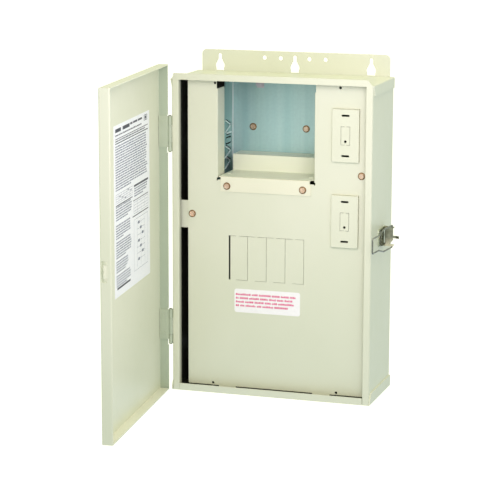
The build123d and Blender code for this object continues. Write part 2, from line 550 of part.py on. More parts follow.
def terminal_bar(builder_name, x_range, back, z_range, count, along_z):
    """A terminal bar with a wire hole and a clamping screw at each place, as two nodes."""
    depth = 10.0
    low, high = z_range if along_z else x_range
    pitch = (high - low) / count
    places = [low + (index + 0.5) * pitch for index in range(count)]
    mid_x = sum(x_range) / 2
    mid_z = sum(z_range) / 2
    with BuildPart() as bar:
        slab(x_range, (back - depth, back), z_range)
        for place in places:
            x, z = (mid_x, place) if along_z else (place, mid_z)
            across(x, back - 4, z, 2.2, 30, "x" if along_z else "z", Mode.SUBTRACT)
            across(x, back - depth + 1, z, 2.1, 6, "y", Mode.SUBTRACT)
    finish(bar, builder_name)
    with BuildPart() as screws:
        for place in places:
            x, z = (mid_x, place) if along_z else (place, mid_z)
            across(x, back - depth, z, 2.05, 5, "y")
            across(x, back - depth - 2.9, z, 2.6, 1.6, "y")
            slab((x - 3, x + 3), (back - depth - 4, back - depth - 3), (z - 0.5, z + 0.5), Mode.SUBTRACT)
    finish(screws, f"{builder_name}_screws")


NEUTRAL_X = (inset(28.0), inset(38.0))
NEUTRAL_Z = (level(70.0), level(196.0))
NEUTRAL_BACK = -19.0
GROUND_X = (inset(150.0), inset(236.0))
GROUND_Z = (level(78.0), level(87.0))
GROUND_BACK = -9.0
terminal_bar("neutral_bar", NEUTRAL_X, NEUTRAL_BACK, NEUTRAL_Z, 12, True)
terminal_bar("ground_bar", GROUND_X, GROUND_BACK, GROUND_Z, 8, False)

with BuildPart() as neutral_insulators:
    for z in (NEUTRAL_Z[0] + 10, NEUTRAL_Z[1] - 10):
        slab((NEUTRAL_X[0] - 3, NEUTRAL_X[1] + 3), (NEUTRAL_BACK, -SHEET), (z - 8, z + 8))
finish(neutral_insulators, "neutral_insulators")

with BuildPart() as ground_bar_feet:
    for x in (GROUND_X[0] + 8, GROUND_X[1] - 8):
        slab((x - 6, x + 6), (GROUND_BACK, -SHEET), GROUND_Z)
finish(ground_bar_feet, "ground_bar_feet")

# ================================================================ hinges
KNUCKLE_RADIUS = 2.6
PIN_RADIUS = 1.2
LEAF_SHEET = 1.2
LEAF_DEPTH = 21.0
DOOR_LEAF_INSET = 6.0          # the door leaf is this much shorter at each end than the wall leaf
DOOR_KNUCKLE = (12.3, 33.7)    # height of the middle knuckle within the hinge
FLUSH_RIVET = 0.05

# Door frame: U runs along the door from the hinge axis, V towards the enclosure once closed,
# and heights are measured as on the enclosure.
DOOR = Plane(origin=(HINGE_X, HINGE_Y, BOTTOM),
             x_dir=(cos(radians(DOOR_OPEN_DEG)), -sin(radians(DOOR_OPEN_DEG)), 0), z_dir=(0, 0, 1))
DOOR_U = (inset(-2.4) - HINGE_X, inset(-2.4) - HINGE_X + DOOR_WIDTH)
DOOR_V = (-DOOR_GAP - 1.5 - DOOR_DEPTH, -DOOR_GAP - 1.5)
DOOR_W = (0.0, DOOR_HEIGHT)
DOOR_PANEL_V = DOOR_V[0] + SHEET
DOOR_LEAF_U = (DOOR_U[0] + SHEET, DOOR_U[0] + SHEET + LEAF_SHEET)
DOOR_RIVET_V = DOOR_V[1] - 6.7

for place, low in zip(("lower", "upper"), HINGE_LOWS):
    high = low + HINGE_HEIGHT
    with BuildPart() as wall_leaf:
        slab((LEFT - LEAF_SHEET, LEFT), (behind(4.8), behind(LEAF_DEPTH)), (level(low), level(high)))
        for start, stop in ((low, low + DOOR_KNUCKLE[0] - 0.3), (low + DOOR_KNUCKLE[1] + 0.3, high)):
            slab((LEFT - LEAF_SHEET, LEFT), (HINGE_Y + 0.8, behind(6)), (level(start), level(stop)))
            across(HINGE_X, HINGE_Y, level((start + stop) / 2), KNUCKLE_RADIUS, stop - start, "z")
        across(HINGE_X, HINGE_Y, level((low + high) / 2), PIN_RADIUS, HINGE_HEIGHT + 2, "z", Mode.SUBTRACT)
        for rise in HINGE_RIVET_HEIGHTS:
            across(LEFT, behind(HINGE_RIVET_DEPTH), level(low + rise), RIVET_RADIUS, 6, "x", Mode.SUBTRACT)
    finish(wall_leaf, f"hinge_wall_leaf_{place}")
    with BuildPart(DOOR) as door_leaf:
        slab(DOOR_LEAF_U, (DOOR_V[0] + SHEET + 0.4, DOOR_V[1]), (low + DOOR_LEAF_INSET, high))
        knuckle = (low + DOOR_KNUCKLE[0], low + DOOR_KNUCKLE[1])
        slab((DOOR_U[0] + 0.2, DOOR_LEAF_U[1]), (DOOR_V[1] - 1.0, DOOR_V[1] + 0.2), knuckle)
        across(0, 0, sum(knuckle) / 2, KNUCKLE_RADIUS, knuckle[1] - knuckle[0], "z")
        across(0, 0, sum(knuckle) / 2, PIN_RADIUS + 0.05, HINGE_HEIGHT, "z", Mode.SUBTRACT)
        for rise in HINGE_RIVET_HEIGHTS:
            across(DOOR_LEAF_U[0], DOOR_RIVET_V, low + rise, RIVET_RADIUS, 6, "x", Mode.SUBTRACT)
    finish(door_leaf, f"hinge_door_leaf_{place}")

with BuildPart() as hinge_pins:
    for low in HINGE_LOWS:
        middle = level(low + HINGE_HEIGHT / 2)
        across(HINGE_X, HINGE_Y, middle, PIN_RADIUS, HINGE_HEIGHT, "z")
        for side in (-1, 1):
            across(HINGE_X, HINGE_Y, middle + side * (HINGE_HEIGHT / 2 + 0.5), PIN_RADIUS + 0.6, 1.0, "z")
finish(hinge_pins, "hinge_pins")

with BuildPart() as hinge_wall_rivets:
    for height in on_each_hinge_rivet():
        across(LEFT + (SHEET - LEAF_SHEET) / 2, behind(HINGE_RIVET_DEPTH), level(height), RIVET_RADIUS,
               SHEET + LEAF_SHEET, "x")
        across(LEFT - LEAF_SHEET - 0.4, behind(HINGE_RIVET_DEPTH), level(height), 2.4, 0.8, "x")
        across(LEFT + SHEET + 0.5, behind(HINGE_RIVET_DEPTH), level(height), 2.2, 1.0, "x")
finish(hinge_wall_rivets, "hinge_wall_rivets")

with BuildPart(DOOR) as hinge_door_rivets:
    for height in on_each_hinge_rivet():
        shank = (DOOR_U[0] + FLUSH_RIVET, DOOR_LEAF_U[1])
        across(sum(shank) / 2, DOOR_RIVET_V, height, RIVET_RADIUS, shank[1] - shank[0], "x")
        across(DOOR_LEAF_U[1] + 0.4, DOOR_RIVET_V, height, 2.1, 0.8, "x")
finish(hinge_door_rivets, "hinge_door_rivets")

# ================================================================ door
KEEPER_HALF = 8.0              # half height of the lanced keeper tab
KEEPER_ARM = 5.0
KEEPER_TAB_V = (-10.9, -7.4)   # free edge and root of the tab
KEEPER_SLOT_V = -14.1
KEEPER_RISE = 1.8

with BuildPart(DOOR) as door_pan:
    slab(DOOR_U, DOOR_V, DOOR_W)
    outer_face = door_pan.faces().sort_by(Axis((0, 0, 0), DOOR.y_dir))[0]
    fillet(outer_face.edges(), 1.6)
    upright = door_pan.edges().filter_by(Axis.Z)
    fillet(upright, 1.4)
    slab((DOOR_U[0] + SHEET, DOOR_U[1] - SHEET), (DOOR_PANEL_V, DOOR_V[1] + 1),
         (DOOR_W[0] + SHEET, DOOR_W[1] - SHEET), Mode.SUBTRACT)
    # The flanges meet in a fine open seam at each corner.
    for u_range in ((DOOR_U[0] + SHEET - 0.1, DOOR_U[0] + SHEET + 0.3),
                    (DOOR_U[1] - SHEET - 0.3, DOOR_U[1] - SHEET + 0.1)):
        for w_range in ((-1, SHEET + 0.1), (DOOR_HEIGHT - SHEET - 0.1, DOOR_HEIGHT + 1)):
            slab(u_range, (DOOR_PANEL_V + 0.5, DOOR_V[1] + 1), w_range, Mode.SUBTRACT)
    # Room for the hinge knuckles, and their rivet holes.
    for low in HINGE_LOWS:
        slab((DOOR_U[0] - 1, DOOR_U[0] + SHEET), (DOOR_V[1] - 1.4, DOOR_V[1] + 1),
             (low - 1.6, low + HINGE_HEIGHT + 1.6), Mode.SUBTRACT)
    for height in on_each_hinge_rivet():
        across(DOOR_U[0], DOOR_RIVET_V, height, RIVET_RADIUS, 6, "x", Mode.SUBTRACT)
    # Lanced keeper for the latch bail, in the free-edge flange.
    slab((DOOR_U[1] - SHEET - 1, DOOR_U[1] + 1), (KEEPER_SLOT_V, KEEPER_TAB_V[0]),
         (LATCH_LEVEL - KEEPER_HALF - KEEPER_ARM, LATCH_LEVEL + KEEPER_HALF + KEEPER_ARM), Mode.SUBTRACT)
    for side in (-1, 1):
        arm = sorted((LATCH_LEVEL + side * KEEPER_HALF, LATCH_LEVEL + side * (KEEPER_HALF + KEEPER_ARM)))
        slab((DOOR_U[1] - SHEET - 1, DOOR_U[1] + 1), (KEEPER_SLOT_V, KEEPER_TAB_V[1]), arm, Mode.SUBTRACT)
    slab((DOOR_U[1] - SHEET - 1, DOOR_U[1] + 1), (KEEPER_SLOT_V, KEEPER_TAB_V[1]),
         (LATCH_LEVEL - KEEPER_HALF, LATCH_LEVEL + KEEPER_HALF), Mode.SUBTRACT)
    with BuildSketch(DOOR.offset(LATCH_LEVEL - KEEPER_HALF)):
        with BuildLine():
            Polyline((DOOR_U[1] - SHEET, KEEPER_TAB_V[1]), (DOOR_U[1], KEEPER_TAB_V[1]),
                     (DOOR_U[1] + KEEPER_RISE, KEEPER_TAB_V[0]),
                     (DOOR_U[1] + KEEPER_RISE - SHEET, KEEPER_TAB_V[0]), close=True)
        make_face()
    extrude(amount=2 * KEEPER_HALF)
finish(door_pan, "door_pan")

with BuildPart(DOOR) as wiring_label:
    slab((50.0, 214.0), (DOOR_PANEL_V, DOOR_PANEL_V + 0.15), (166.0, 376.5))
finish(wiring_label, "wiring_label")

# ================================================================ draw latch on the right side
PIVOT_OUT = 5.0                # lever pivot, out from the side wall
PIVOT_DEPTH = 58.0             # and back from the front rim
PIVOT_RADIUS = 1.5
PLATE_HALF = 11.2              # half height of the base plate
EAR_INNER = 9.5                # ears of the base, half spacing
EAR_RADIUS = 3.4
LEVER_HALF = 12.2              # half width of the lever
CHEEK_SHEET = 1.2
BAIL_WIRE = 1.0                # wire radius
BAIL_OFFSET = (8.0, -0.7)      # bail pivot on the lever: along the handle, and outwards
BAIL_LENGTH = 76.7
BAIL_TIP = (6.5, -17.7)        # crossbar at rest: out from the side wall, back from the rim
BAIL_HALF_TIP = 9.5
BAIL_HALF_ROOT = 14.3
PIN_HEAD = 0.6                 # thickness of the pin's peened heads, inside the bail

LATCH_Z = level(LATCH_LEVEL)
# Lever frame at rest: X out along the handle, Y towards the front.
LEVER = Plane(origin=(RIGHT + PIVOT_OUT, behind(PIVOT_DEPTH), LATCH_Z), x_dir=(1, 0, 0), z_dir=(0, 0, 1))

with BuildPart() as latch_base:
    slab((RIGHT, RIGHT + 1.2), (behind(36), behind(74)), (LATCH_Z - PLATE_HALF, LATCH_Z + PLATE_HALF))
    fillet(latch_base.edges().filter_by(Axis.X), 4.0)
    for side in (-1, 1):
        ear = sorted((LATCH_Z + side * EAR_INNER, LATCH_Z + side * (EAR_INNER + CHEEK_SHEET)))
        slab((RIGHT + 1, RIGHT + PIVOT_OUT),
             (behind(PIVOT_DEPTH - EAR_RADIUS), behind(PIVOT_DEPTH + EAR_RADIUS)), ear)
        across(RIGHT + PIVOT_OUT, behind(PIVOT_DEPTH), sum(ear) / 2, EAR_RADIUS, CHEEK_SHEET, "z")
    # A pressed bridge in front of the ears stiffens the plate.
    slab((RIGHT + 1, RIGHT + 4.2), (behind(44.5), behind(51)), (LATCH_Z - 10.7, LATCH_Z + 10.7))
    slab((RIGHT - 1, RIGHT + 3.0), (behind(44.0), behind(51.5)), (LATCH_Z - 9.5, LATCH_Z + 9.5),
         Mode.SUBTRACT)
    across(RIGHT + PIVOT_OUT, behind(PIVOT_DEPTH), LATCH_Z, PIVOT_RADIUS, 40, "z", Mode.SUBTRACT)
    for depth in LATCH_RIVET_DEPTHS:
        across(RIGHT, behind(depth), LATCH_Z, RIVET_RADIUS, 6, "x", Mode.SUBTRACT)
finish(latch_base, "latch_base")

with BuildPart() as latch_rivets:
    for depth in LATCH_RIVET_DEPTHS:
        across(RIGHT - 0.15, behind(depth), LATCH_Z, RIVET_RADIUS, SHEET + 1.2, "x")
        across(RIGHT + 1.6, behind(depth), LATCH_Z, 2.6, 0.8, "x")
        across(RIGHT - SHEET - 0.4, behind(depth), LATCH_Z, 2.2, 0.8, "x")
finish(latch_rivets, "latch_rivets")

with BuildPart() as latch_pin:
    across(RIGHT + PIVOT_OUT, behind(PIVOT_DEPTH), LATCH_Z, PIVOT_RADIUS, 2 * (LEVER_HALF + 0.1), "z")
    head_rise = LEVER_HALF + 0.1 + PIN_HEAD / 2
    for z in (LATCH_Z - head_rise, LATCH_Z + head_rise):
        across(RIGHT + PIVOT_OUT, behind(PIVOT_DEPTH), z, 2.4, PIN_HEAD, "z")
finish(latch_pin, "latch_pin")

WEB_Y = (-5.2, -4.0)
with BuildPart(LEVER) as latch_lever:
    with BuildSketch(LEVER.offset(-LEVER_HALF)):
        Circle(3.6)
        with Locations((5.25, (WEB_Y[0] + 3.0) / 2)):
            Rectangle(10.5, 3.0 - WEB_Y[0])
    extrude(amount=2 * LEVER_HALF)
    slab((-8, 20), (WEB_Y[1], 8), (-LEVER_HALF + CHEEK_SHEET, LEVER_HALF - CHEEK_SHEET), Mode.SUBTRACT)
    # Rounded shield, narrowing into the finger tongue.
    with BuildSketch(Plane(origin=(RIGHT + PIVOT_OUT, behind(PIVOT_DEPTH) + WEB_Y[1], LATCH_Z),
                           x_dir=(1, 0, 0), z_dir=(0, -1, 0))) as shield:
        with Locations((7.0, 0)):
            RectangleRounded(7.0, 2 * LEVER_HALF, 3.4)
    extrude(amount=WEB_Y[1] - WEB_Y[0])
    with BuildSketch(LEVER.offset(-1.6)):
        with BuildLine():
            FilletPolyline((10.0, WEB_Y[0]), (14.5, WEB_Y[0]), (18.4, WEB_Y[0] - 2.6), (19.2, WEB_Y[0] - 1.7),
                           (15.2, WEB_Y[1]), (10.0, WEB_Y[1]), radius=0.4, close=True)
        make_face()
    extrude(amount=3.2)
    # Below the tongue the shield tapers towards the pivot.
    with BuildSketch(Plane(origin=(RIGHT + PIVOT_OUT, behind(PIVOT_DEPTH) + WEB_Y[1], LATCH_Z),
                           x_dir=(1, 0, 0), z_dir=(0, -1, 0))):
        with BuildLine():
            Polyline((12.5, -1.7), (4.6, CHEEK_SHEET - LEVER_HALF), (12.5, CHEEK_SHEET - LEVER_HALF),
                     close=True)
        make_face()
    extrude(amount=WEB_Y[1] - WEB_Y[0], mode=Mode.SUBTRACT)
    across(0, 0, 0, PIVOT_RADIUS + 0.06, 40, "z", Mode.SUBTRACT)
    across(BAIL_OFFSET[0], -BAIL_OFFSET[1], 0, BAIL_WIRE + 0.06, 40, "z", Mode.SUBTRACT)
finish(latch_lever, "latch_lever")

# The bail's ends turn in through the lever's cheeks; its crossbar reaches the door's keeper.
BAIL_ROOT = (RIGHT + PIVOT_OUT + BAIL_OFFSET[0], behind(PIVOT_DEPTH) - BAIL_OFFSET[1])
BAIL_END = (RIGHT + BAIL_TIP[0], behind(BAIL_TIP[1]))
BAIL = Plane(origin=(*BAIL_ROOT, LATCH_Z), x_dir=(BAIL_END[0] - BAIL_ROOT[0], BAIL_END[1] - BAIL_ROOT[1], 0),
             z_dir=Vector(BAIL_END[1] - BAIL_ROOT[1], BAIL_ROOT[0] - BAIL_END[0], 0))
BAIL_STUB = LEVER_HALF - CHEEK_SHEET - 0.1

with BuildPart() as latch_bail:
    with BuildLine(BAIL) as bail_path:
        FilletPolyline((0, -BAIL_STUB), (0, -BAIL_HALF_ROOT), (BAIL_LENGTH - 44, -BAIL_HALF_ROOT),
                       (BAIL_LENGTH - 24, -BAIL_HALF_TIP), (BAIL_LENGTH, -BAIL_HALF_TIP),
                       (BAIL_LENGTH, BAIL_HALF_TIP), (BAIL_LENGTH - 24, BAIL_HALF_TIP),
                       (BAIL_LENGTH - 44, BAIL_HALF_ROOT), (0, BAIL_HALF_ROOT), (0, BAIL_STUB),
                       radius=[1.2, 4, 4, 1.9, 1.9, 4, 4, 1.2])
    with BuildSketch(Plane(origin=bail_path.line @ 0, z_dir=bail_path.line % 0)):
        Circle(BAIL_WIRE)
    sweep()
finish(latch_bail, "latch_bail")
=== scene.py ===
"""Looks for the outdoor control panel: paint, plating, printed labels, screw heads, light and camera.

Everything is in metres in the CAD model's frame: +X to the right, +Y into the wall, +Z up, with the
origin in the middle of the enclosure's back face.
"""

import json
import math
import random

import bmesh
import bpy
from mathutils import Matrix, Vector


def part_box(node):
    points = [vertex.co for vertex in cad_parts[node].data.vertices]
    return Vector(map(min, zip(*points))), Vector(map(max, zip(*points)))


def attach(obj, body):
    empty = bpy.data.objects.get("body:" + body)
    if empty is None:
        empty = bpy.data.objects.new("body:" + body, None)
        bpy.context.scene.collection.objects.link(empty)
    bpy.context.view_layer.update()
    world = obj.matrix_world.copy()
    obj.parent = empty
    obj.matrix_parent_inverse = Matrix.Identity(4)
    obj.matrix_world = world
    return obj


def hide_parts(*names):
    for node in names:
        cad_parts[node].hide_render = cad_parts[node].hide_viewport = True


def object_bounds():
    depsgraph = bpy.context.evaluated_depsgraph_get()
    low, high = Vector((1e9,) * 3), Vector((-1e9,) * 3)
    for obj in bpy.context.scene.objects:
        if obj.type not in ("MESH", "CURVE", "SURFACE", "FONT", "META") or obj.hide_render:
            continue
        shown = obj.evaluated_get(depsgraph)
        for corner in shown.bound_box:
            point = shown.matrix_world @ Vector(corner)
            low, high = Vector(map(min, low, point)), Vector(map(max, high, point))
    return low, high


MM = 0.001
SEED = 11

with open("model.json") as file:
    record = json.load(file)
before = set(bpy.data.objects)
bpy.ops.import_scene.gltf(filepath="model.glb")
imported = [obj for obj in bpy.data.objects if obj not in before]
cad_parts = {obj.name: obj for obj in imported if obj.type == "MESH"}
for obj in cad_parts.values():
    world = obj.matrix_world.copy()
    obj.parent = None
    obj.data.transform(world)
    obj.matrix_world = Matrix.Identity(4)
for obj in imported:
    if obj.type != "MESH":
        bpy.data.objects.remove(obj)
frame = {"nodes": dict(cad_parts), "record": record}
cad_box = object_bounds()
nodes = frame["nodes"]


# ---------------------------------------------------------------- material building
class Shader:
    """A node material under construction, with one Principled shader."""

    def __init__(self, name, **sockets):
        self.material = bpy.data.materials.new(name)
        self.material.use_nodes = True
        self.tree = self.material.node_tree
        self.principled = self.tree.nodes["Principled BSDF"]
        self.place = self.add("ShaderNodeTexCoord").outputs["Object"]
        for socket, value in sockets.items():
            self.principled.inputs[socket.replace("_", " ")].default_value = value

    def add(self, kind, **inputs):
        node = self.tree.nodes.new(kind)
        for socket, value in inputs.items():
            self.feed(node.inputs[socket.replace("_", " ")], value)
        return node

    def feed(self, socket, value):
        if isinstance(value, bpy.types.NodeSocket):
            self.tree.links.new(value, socket)
        else:
            socket.default_value = value

    def noise(self, scale, detail=3.0, stretch=(1, 1, 1)):
        """Noise over the object; stretch squeezes the pattern along each axis."""
        mapping = self.add("ShaderNodeMapping", Vector=self.place, Scale=stretch)
        return self.add("ShaderNodeTexNoise", Vector=mapping.outputs["Vector"], Scale=scale,
                        Detail=detail).outputs["Fac"]

    def span(self, value, low, high, start=0.3, stop=0.7):
        """Maps a noise value from start..stop to low..high."""
        node = self.add("ShaderNodeMapRange", Value=value)
        for socket, number in zip(("From Min", "From Max", "To Min", "To Max"), (start, stop, low, high)):
            node.inputs[socket].default_value = number
        return node.outputs["Result"]

    def mix(self, factor, first, second):
        node = self.tree.nodes.new("ShaderNodeMix")
        node.data_type = "RGBA"
        self.feed(node.inputs["Factor"], factor)
        self.feed(node.inputs[6], first)
        self.feed(node.inputs[7], second)
        return node.outputs[2]

    def maths(self, operation, first, second):
        node = self.tree.nodes.new("ShaderNodeMath")
        node.operation = operation
        self.feed(node.inputs[0], first)
        self.feed(node.inputs[1], second)
        return node.outputs["Value"]

    def vector(self, operation, first, second=(0, 0, 0)):
        node = self.tree.nodes.new("ShaderNodeVectorMath")
        node.operation = operation
        self.feed(node.inputs[0], first)
        self.feed(node.inputs[1], second)
        return node.outputs["Vector"]

    def along(self, axis, start, stop):
        """Rises from 0 to 1 between two places along an axis of the object."""
        parts = self.add("ShaderNodeSeparateXYZ", Vector=self.place).outputs
        return self.span(parts[axis], 0.0, 1.0, start, stop)

    def within(self, low, high):
        """1 inside a box of the object's space and 0 outside."""
        middle, half = (low + high) / 2, (high - low) / 2
        offset = self.vector("ABSOLUTE", self.vector("SUBTRACT", self.place, middle))
        x, y, z = self.add("ShaderNodeSeparateXYZ", Vector=self.vector("SUBTRACT", offset, half)).outputs
        furthest = self.maths("MAXIMUM", self.maths("MAXIMUM", x, y), z)
        return self.span(furthest, 1.0, 0.0, -0.1 * MM, 0.1 * MM)

    def colour(self, value):
        self.feed(self.principled.inputs["Base Color"], value)

    def rough(self, value):
        self.feed(self.principled.inputs["Roughness"], value)

    def bump(self, height, distance, strength=1.0):
        node = self.add("ShaderNodeBump", Height=height, Distance=distance, Strength=strength)
        self.tree.links.new(node.outputs["Normal"], self.principled.inputs["Normal"])


def srgb(red, green, blue):
    """An 8-bit sRGB colour as a linear RGBA tuple."""
    channels = [c / 255 for c in (red, green, blue)]
    linear = [c / 12.92 if c <= 0.04045 else ((c + 0.055) / 1.055) ** 2.4 for c in channels]
    return (*linear, 1.0)


def powder_coat(name, dark, light, painted_light_zone=None):
    """Cream-green satin powder coat with a fine orange peel; in a given zone it takes other colours, which
    are painted light in some zones and painted shade in others.
    """
    s = Shader(name, Specular_IOR_Level=0.5)
    cloud = s.span(s.noise(7.0), 0.0, 1.0)
    coat = s.mix(cloud, dark, light)
    if painted_light_zone:
        low, high, fade, painted_tones = painted_light_zone
        # painted light and shade: within the zone, fading in along Y, the coat takes the zone's colours
        inside = s.maths("MULTIPLY", s.within(low, high), s.along(1, low.y, low.y + fade))
        coat = s.mix(inside, coat, s.mix(cloud, *painted_tones))
    s.colour(coat)
    s.rough(s.span(s.noise(60.0), 0.33, 0.42))
    s.bump(s.noise(1500.0, detail=2.0), 0.00003, 0.35)
    return s.material


def zinc_plate(wall):
    """Zinc plated sheet with soft streaks along the height.

    The side wall, up to the X of its inner face, is darker as painted shade, and what stands proud of it
    carries a painted highlight.
    """
    s = Shader("zinc_plate", Metallic=0.45, Specular_IOR_Level=0.5)
    wide = s.span(s.noise(14.0, stretch=(1, 1, 0.04)), 0.0, 1.0)
    fine = s.span(s.noise(120.0, stretch=(1, 1, 0.02)), 0.0, 0.5)
    base = s.mix(wide, srgb(168, 212, 212), srgb(192, 226, 220))
    streaked = s.mix(fine, base, srgb(210, 237, 232))
    spangled = s.mix(s.span(s.noise(260.0, detail=1.0), 0.0, 0.12), streaked, srgb(150, 184, 186))
    # painted shade on the side wall and a painted highlight on what stands proud of it, giving way to the
    # plain plate further out
    lance_highlight = s.along(0, wall + 0.15 * MM, wall + 0.6 * MM)
    clear = s.along(0, wall + 2.0 * MM, wall + 2.6 * MM)
    shade_and_highlight = s.mix(lance_highlight, s.mix(fine, srgb(138, 176, 172), srgb(162, 196, 190)), srgb(240, 252, 248))
    s.colour(s.mix(clear, shade_and_highlight, spangled))
    s.rough(s.span(s.noise(90.0, stretch=(1, 1, 0.05)), 0.32, 0.46))
    s.bump(s.noise(420.0, stretch=(1, 1, 0.05)), 0.00002, 0.3)
    return s.material


def yellow_zinc(name, dark, light, roughness):
    """Yellow-chromate plated steel, with a patchy coppery iridescence."""
    s = Shader(name, Metallic=0.8)
    s.colour(s.mix(s.span(s.noise(420.0), 0.0, 1.0), dark, light))
    s.rough(s.span(s.noise(900.0), roughness, roughness + 0.15))
    s.bump(s.noise(2600.0), 0.00001, 0.3)
    return s.material


def pressing(name, dark, light, roughness):
    """The start of a zinc plated pressing: patchy tone and a slightly uneven skin."""
    s = Shader(name, Metallic=0.85)
    s.rough(s.span(s.noise(500.0), roughness, roughness + 0.16))
    s.bump(s.noise(1700.0), 0.00002, 0.3)
    return s, s.mix(s.span(s.noise(230.0), 0.0, 1.0), dark, light)


def latch_plate():
    """Plain zinc plated pressing with a patchy tone."""
    s, tone = pressing("latch_plate", srgb(112, 108, 92), srgb(196, 190, 166), 0.24)
    s.colour(tone)
    return s.material


def latch_lever_plate(foot, waist):
    """The lever's pressing: pewter above its waist, with a painted bright reflection towards its foot."""
    s, pewter = pressing("latch_lever_plate", srgb(134, 136, 118), srgb(172, 174, 154), 0.28)
    # painted reflection: the lever lightens from pewter at its waist to near white at its foot
    s.colour(s.mix(s.along(2, foot, waist), srgb(240, 232, 206), pewter))
    return s.material


def latch_base_plate(face):
    """The base's pressing: pale on the flat plate, and dark with painted shade on the bridge and ears that
    stand off it.
    """
    s, shaded_tone = pressing("latch_base_plate", srgb(52, 58, 38), srgb(128, 130, 108), 0.3)
    # painted shade: the bridge and ears standing off the plate are dark
    s.colour(s.mix(s.along(0, face, face + 0.3 * MM), srgb(206, 212, 190), shaded_tone))
    return s.material


def paper(name, tint, shade):
    """Coated label paper with a faint fibre mottle."""
    s = Shader(name, Roughness=0.45)
    s.colour(s.mix(s.span(s.noise(300.0), 0.0, 1.0), tint, shade))
    s.bump(s.noise(2200.0), 0.00001, 0.2)
    return s.material


def ink(name, dense, thin):
    """Printing ink, slightly uneven in density."""
    s = Shader(name, Roughness=0.5)
    s.colour(s.mix(s.span(s.noise(900.0), 0.0, 1.0), dense, thin))
    s.bump(s.noise(3000.0), 0.000005, 0.2)
    return s.material


def moulded(name, dark, light, roughness):
    """Moulded plastic with a fine grain."""
    s = Shader(name)
    s.colour(s.mix(s.span(s.noise(40.0), 0.0, 1.0), dark, light))
    s.rough(s.span(s.noise(300.0), roughness, roughness + 0.1))
    s.bump(s.noise(1800.0), 0.00003, 0.4)
    return s.material


def bright_metal(name, dark, light, roughness, draw):
    """Bare or tinned metal; draw stretches the grain along each axis."""
    s = Shader(name, Metallic=1.0)
    s.colour(s.mix(s.span(s.noise(160.0, stretch=draw), 0.0, 1.0), dark, light))
    s.rough(s.span(s.noise(400.0, stretch=draw), roughness, roughness + 0.15))
    s.bump(s.noise(1500.0, stretch=draw), 0.00001, 0.3)
    return s.material


CREAM = (srgb(216, 219, 195), srgb(221, 223, 201))
# painted light: the barrier bracket's coat is lighter than the cream elsewhere
BRACKET_LIT_CREAM = (srgb(226, 226, 200), srgb(231, 230, 206))
# painted light: the barrier bracket's shelf is paler still
SHELF_LIT_CREAM = (srgb(238, 243, 218), srgb(243, 247, 223))
# painted shade: the greyer tone on the inner face of the door's hinge flange
FOLD_SHADE_CREAM = (srgb(170, 182, 159), srgb(177, 189, 166))
# painted shade: the greyer tone of the hinge leaves and rivets
HINGE_SHADE_CREAM = (srgb(178, 188, 164), srgb(184, 194, 171))
# painted shade: the dark tone the enclosure's walls fade to behind the dead front
INTERIOR_SHADE = (srgb(58, 62, 52), srgb(74, 78, 66))
LINER_SHEET = 1.2 * MM


def interior_shade_zone():
    """The hollow of the enclosure behind the dead front, whose walls fade to a dark painted shade."""
    shell_low, shell_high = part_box("enclosure_wrap")
    low = Vector((shell_low.x + MM, shell_low.y + 3 * MM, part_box("bottom_cap")[0].z + MM))
    high = Vector((shell_high.x - MM, shell_high.y - MM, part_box("dead_front")[1].z + MM))
    return low, high, 10 * MM, INTERIOR_SHADE


def shelf_light_zone():
    """The bracket's level shelf, behind its screwed front face and in front of its riser, where a paler tone
    is painted light.
    """
    low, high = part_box("barrier_bracket")
    inset = Vector((0, 2.5 * MM, 0))
    return low + inset - Vector((MM, 0, MM)), high - inset + Vector((MM, 0, MM)), 1.0 * MM, SHELF_LIT_CREAM


def fold_shade_zone():
    """The inner face of the door's hinge flange, where a greyer tone is painted shade."""
    pan_low, pan_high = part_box("door_pan")
    low = Vector((pan_low.x + 1.7 * MM, pan_high.y - 3.8 * MM, pan_low.z))
    high = Vector((pan_low.x + 20 * MM, pan_high.y - 1.2 * MM, pan_high.z))
    return low, high, 0.2 * MM, FOLD_SHADE_CREAM


SLOTS = {
    "paint": powder_coat("powder_coat", *CREAM),
    "galvanised": zinc_plate(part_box("mechanism_liner")[0].x + LINER_SHEET),
    "screw": yellow_zinc("screw_head", srgb(222, 190, 162), srgb(244, 222, 200), 0.24),
    "latch_metal": latch_plate(),
    "wire": bright_metal("zinc_wire", srgb(124, 126, 118), srgb(164, 166, 156), 0.3, (1, 1, 1)),
    "warning_print": paper("warning_vinyl", srgb(250, 248, 246), srgb(244, 242, 241)),
    "label_paper": paper("label_paper", srgb(246, 247, 248), srgb(236, 239, 243)),
    "clip": moulded("clip_nylon", srgb(196, 190, 196), srgb(226, 222, 226), 0.4),
    "moulding": moulded("black_moulding", srgb(30, 31, 33), srgb(44, 45, 48), 0.45),
    "bus_metal": bright_metal("tinned_bar", srgb(176, 178, 182), srgb(214, 216, 218), 0.3, (0.1, 1, 1)),
    "terminal_metal": bright_metal("terminal_aluminium", srgb(168, 172, 178), srgb(206, 208, 212), 0.34,
                                   (1, 1, 0.1)),
    "terminal_screw": bright_metal("terminal_zinc", srgb(140, 146, 152), srgb(192, 196, 200), 0.3, (1, 1, 1)),
}
# painted shade: a darker yellow zinc for the washer and the foot of the head, under the head's top
WASHER_SHADE_ZINC = yellow_zinc("screw_washer_painted_shade", srgb(122, 96, 62), srgb(168, 134, 96), 0.3)
RED_INK = ink("red_ink", srgb(214, 70, 118), srgb(232, 120, 158))
DARK_INK = ink("dark_ink", srgb(46, 50, 62), srgb(78, 82, 98))
GREY_INK = ink("grey_ink", srgb(84, 92, 112), srgb(122, 130, 150))


# ---------------------------------------------------------------- CAD nodes
def dress(node, material):
    """Gives a CAD node its finish."""
    node.data.materials.clear()
    node.data.materials.append(material)


slot_of = {part["node"]: part["material_slot"] for part in frame["record"]["subparts"]}
for name, node in nodes.items():
    dress(node, SLOTS[slot_of[name]])
